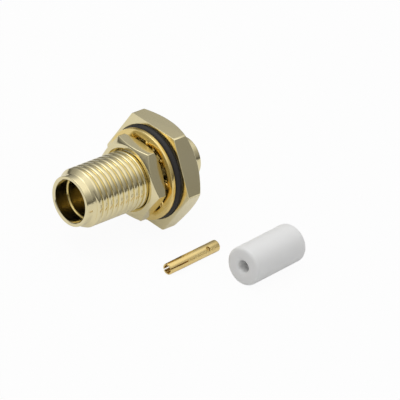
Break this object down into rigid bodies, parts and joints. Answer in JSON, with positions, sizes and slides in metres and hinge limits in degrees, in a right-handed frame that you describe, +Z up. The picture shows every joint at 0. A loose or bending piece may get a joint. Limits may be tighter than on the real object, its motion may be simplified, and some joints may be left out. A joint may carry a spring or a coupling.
{
  "type": "sma connector",
  "caption": "Gold-plated bulkhead coaxial jack with threaded barrel, hexagon flange, seal ring, lock washer and nut; its socket contact and insulator lie beside it.",
  "frame": {"origin": "on the jack's axis, in the front face of the hexagon flange, which seats on the panel", "axes": "-Y along the jack's axis out of the mating mouth, +Y out of the cable end, +Z up, square to the flange's upper flat"},
  "size_m": [0.0235, 0.0182, 0.011],
  "materials": {
    "gold_plate": "polished gold plate with fine turning marks",
    "contact_gold": "satin gold plate",
    "seal_rubber": "matte black",
    "ptfe": "waxy white"
  },
  "bodies": {
    "connector": {"connector_body": "gold_plate", "o_ring": "seal_rubber", "centre_contact": "contact_gold", "insulator": "ptfe"},
    "washer": {"lock_washer": "gold_plate"},
    "nut": {"hex_nut": "gold_plate"}
  },
  "joints": [
    {"name": "washer_travel", "type": "slide", "parent": "connector", "child": "washer", "axis": [0, -1, 0], "range_m": [0, 0.00635]},
    {"name": "nut_turn", "type": "hinge", "parent": "washer", "child": "nut", "pos_m": [0, 0, 0], "axis": [0, -1, 0], "range_deg": [0, 3240]}
  ],
  "couplings": [
    {"joint": "nut_turn", "follows": "washer_travel", "rad_per_m": 8905.3}
  ]
}
